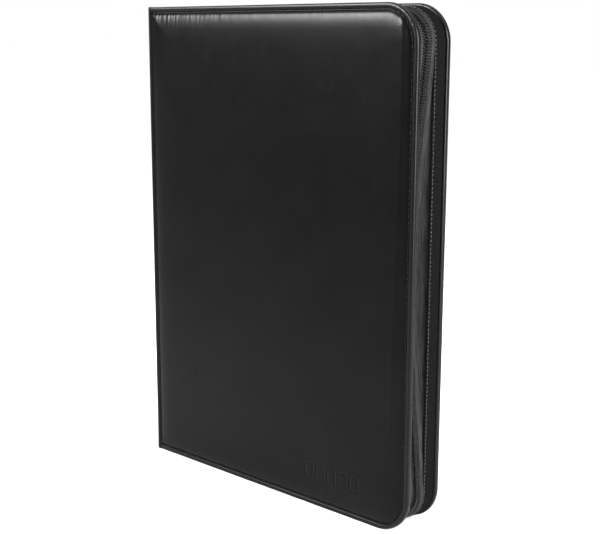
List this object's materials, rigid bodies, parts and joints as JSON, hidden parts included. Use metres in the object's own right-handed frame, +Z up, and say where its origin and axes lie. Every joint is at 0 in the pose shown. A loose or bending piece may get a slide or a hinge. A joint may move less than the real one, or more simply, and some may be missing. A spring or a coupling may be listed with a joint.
{
  "type": "trading card binder",
  "caption": "Zip-around card binder with padded leatherette covers, a fabric zip wall on three sides and bound leaves of side-loading card pockets.",
  "frame": {"origin": "middle of the base, between the bottom edges of the covers", "axes": "+X from the spine to the fore edge, +Y from the front cover to the back cover, +Z up"},
  "size_m": [0.25, 0.036, 0.346],
  "materials": {
    "leatherette": "smooth semi-gloss with a fine grain",
    "foam": "soft closed-cell sheet",
    "greyboard": "matt",
    "lining": "fine woven lining",
    "thread": "twisted thread",
    "zip_tape": "ribbed woven tape",
    "gusset": "coarse woven strip",
    "zip_teeth": "nylon coil",
    "zip_metal": "black enamelled metal",
    "binding": "welded polypropylene",
    "page": "black sheet under clear film"
  },
  "bodies": {
    "spine": {"spine_skin": "leatherette", "spine_board": "greyboard", "spine_lining": "lining", "page_binding": "binding", "binding_stitches": "thread"},
    "front_cover": {"front_skin": "leatherette", "front_foam": "foam", "front_board": "greyboard", "front_lining": "lining", "front_edge": "leatherette", "front_stitches": "thread", "front_zip_tape": "zip_tape", "front_teeth": "zip_teeth", "front_stops": "zip_metal"},
    "back_cover": {"back_skin": "leatherette", "back_foam": "foam", "back_board": "greyboard", "back_lining": "lining", "back_edge": "leatherette", "back_stitches": "thread", "back_gusset": "gusset", "gusset_stitches": "thread", "back_zip_tape": "zip_tape", "back_teeth": "zip_teeth", "back_stops": "zip_metal"},
    "slider": {"zip_slider": "zip_metal"},
    "pull": {"zip_pull": "zip_metal"},
    "leaf_01": {"page_01": "page"},
    "leaf_02": {"page_02": "page"},
    "leaf_03": {"page_03": "page"},
    "leaf_04": {"page_04": "page"},
    "leaf_05": {"page_05": "page"},
    "leaf_06": {"page_06": "page"},
    "leaf_07": {"page_07": "page"},
    "leaf_08": {"page_08": "page"},
    "leaf_09": {"page_09": "page"},
    "leaf_10": {"page_10": "page"},
    "leaf_11": {"page_11": "page"},
    "leaf_12": {"page_12": "page"},
    "leaf_13": {"page_13": "page"},
    "leaf_14": {"page_14": "page"},
    "leaf_15": {"page_15": "page"},
    "leaf_16": {"page_16": "page"},
    "leaf_17": {"page_17": "page"},
    "leaf_18": {"page_18": "page"},
    "leaf_19": {"page_19": "page"},
    "leaf_20": {"page_20": "page"}
  },
  "joints": [
    {"name": "front_cover_hinge", "type": "hinge", "parent": "spine", "child": "front_cover", "pos_m": [-0.125, -0.018, 0], "axis": [0, 0, -1], "range_deg": [0, 90]},
    {"name": "back_cover_hinge", "type": "hinge", "parent": "spine", "child": "back_cover", "pos_m": [-0.125, 0.018, 0], "axis": [0, 0, 1], "range_deg": [0, 90]},
    {"name": "zip_slide", "type": "slide", "parent": "back_cover", "child": "slider", "axis": [1, 0, 0], "range_m": [0, 0.145]},
    {"name": "pull_hinge", "type": "hinge", "parent": "slider", "child": "pull", "pos_m": [-0.0958, -0.0022, 0.34065], "axis": [0, -1, 0], "range_deg": [0, 175]},
    {"name": "leaf_01_turn", "type": "hinge", "parent": "spine", "child": "leaf_01", "pos_m": [-0.1187, -0.01218, 0], "axis": [0, 0, -1], "range_deg": [0, 90]},
    {"name": "leaf_02_turn", "type": "hinge", "parent": "spine", "child": "leaf_02", "pos_m": [-0.11742, -0.01089, 0], "axis": [0, 0, -1], "range_deg": [0, 90]},
    {"name": "leaf_03_turn", "type": "hinge", "parent": "spine", "child": "leaf_03", "pos_m": [-0.11614, -0.00961, 0], "axis": [0, 0, -1], "range_deg": [0, 90]},
    {"name": "leaf_04_turn", "type": "hinge", "parent": "spine", "child": "leaf_04", "pos_m": [-0.11485, -0.00833, 0], "axis": [0, 0, -1], "range_deg": [0, 90]},
    {"name": "leaf_05_turn", "type": "hinge", "parent": "spine", "child": "leaf_05", "pos_m": [-0.11357, -0.00705, 0], "axis": [0, 0, -1], "range_deg": [0, 90]},
    {"name": "leaf_06_turn", "type": "hinge", "parent": "spine", "child": "leaf_06", "pos_m": [-0.11229, -0.00577, 0], "axis": [0, 0, -1], "range_deg": [0, 90]},
    {"name": "leaf_07_turn", "type": "hinge", "parent": "spine", "child": "leaf_07", "pos_m": [-0.11101, -0.00449, 0], "axis": [0, 0, -1], "range_deg": [0, 90]},
    {"name": "leaf_08_turn", "type": "hinge", "parent": "spine", "child": "leaf_08", "pos_m": [-0.10973, -0.0032, 0], "axis": [0, 0, -1], "range_deg": [0, 90]},
    {"name": "leaf_09_turn", "type": "hinge", "parent": "spine", "child": "leaf_09", "pos_m": [-0.10845, -0.00192, 0], "axis": [0, 0, -1], "range_deg": [0, 90]},
    {"name": "leaf_10_turn", "type": "hinge", "parent": "spine", "child": "leaf_10", "pos_m": [-0.10717, -0.00064, 0], "axis": [0, 0, -1], "range_deg": [0, 90]},
    {"name": "leaf_11_turn", "type": "hinge", "parent": "spine", "child": "leaf_11", "pos_m": [-0.10717, 0.00064, 0], "axis": [0, 0, 1], "range_deg": [0, 90]},
    {"name": "leaf_12_turn", "type": "hinge", "parent": "spine", "child": "leaf_12", "pos_m": [-0.10845, 0.00192, 0], "axis": [0, 0, 1], "range_deg": [0, 90]},
    {"name": "leaf_13_turn", "type": "hinge", "parent": "spine", "child": "leaf_13", "pos_m": [-0.10973, 0.0032, 0], "axis": [0, 0, 1], "range_deg": [0, 90]},
    {"name": "leaf_14_turn", "type": "hinge", "parent": "spine", "child": "leaf_14", "pos_m": [-0.11101, 0.00449, 0], "axis": [0, 0, 1], "range_deg": [0, 90]},
    {"name": "leaf_15_turn", "type": "hinge", "parent": "spine", "child": "leaf_15", "pos_m": [-0.11229, 0.00577, 0], "axis": [0, 0, 1], "range_deg": [0, 90]},
    {"name": "leaf_16_turn", "type": "hinge", "parent": "spine", "child": "leaf_16", "pos_m": [-0.11357, 0.00705, 0], "axis": [0, 0, 1], "range_deg": [0, 90]},
    {"name": "leaf_17_turn", "type": "hinge", "parent": "spine", "child": "leaf_17", "pos_m": [-0.11485, 0.00833, 0], "axis": [0, 0, 1], "range_deg": [0, 90]},
    {"name": "leaf_18_turn", "type": "hinge", "parent": "spine", "child": "leaf_18", "pos_m": [-0.11614, 0.00961, 0], "axis": [0, 0, 1], "range_deg": [0, 90]},
    {"name": "leaf_19_turn", "type": "hinge", "parent": "spine", "child": "leaf_19", "pos_m": [-0.11742, 0.01089, 0], "axis": [0, 0, 1], "range_deg": [0, 90]},
    {"name": "leaf_20_turn", "type": "hinge", "parent": "spine", "child": "leaf_20", "pos_m": [-0.1187, 0.01218, 0], "axis": [0, 0, 1], "range_deg": [0, 90]}
  ],
  "couplings": [
    {"joint": "leaf_01_turn", "follows": "front_cover_hinge", "ratio": 0.98},
    {"joint": "leaf_02_turn", "follows": "front_cover_hinge", "ratio": 0.968},
    {"joint": "leaf_03_turn", "follows": "front_cover_hinge", "ratio": 0.956},
    {"joint": "leaf_04_turn", "follows": "front_cover_hinge", "ratio": 0.944},
    {"joint": "leaf_05_turn", "follows": "front_cover_hinge", "ratio": 0.932},
    {"joint": "leaf_06_turn", "follows": "front_cover_hinge", "ratio": 0.92},
    {"joint": "leaf_07_turn", "follows": "front_cover_hinge", "ratio": 0.908},
    {"joint": "leaf_08_turn", "follows": "front_cover_hinge", "ratio": 0.896},
    {"joint": "leaf_09_turn", "follows": "front_cover_hinge", "ratio": 0.884},
    {"joint": "leaf_10_turn", "follows": "front_cover_hinge", "ratio": 0.872},
    {"joint": "leaf_11_turn", "follows": "back_cover_hinge", "ratio": 0.872},
    {"joint": "leaf_12_turn", "follows": "back_cover_hinge", "ratio": 0.884},
    {"joint": "leaf_13_turn", "follows": "back_cover_hinge", "ratio": 0.896},
    {"joint": "leaf_14_turn", "follows": "back_cover_hinge", "ratio": 0.908},
    {"joint": "leaf_15_turn", "follows": "back_cover_hinge", "ratio": 0.92},
    {"joint": "leaf_16_turn", "follows": "back_cover_hinge", "ratio": 0.932},
    {"joint": "leaf_17_turn", "follows": "back_cover_hinge", "ratio": 0.944},
    {"joint": "leaf_18_turn", "follows": "back_cover_hinge", "ratio": 0.956},
    {"joint": "leaf_19_turn", "follows": "back_cover_hinge", "ratio": 0.968},
    {"joint": "leaf_20_turn", "follows": "back_cover_hinge", "ratio": 0.98}
  ]
}
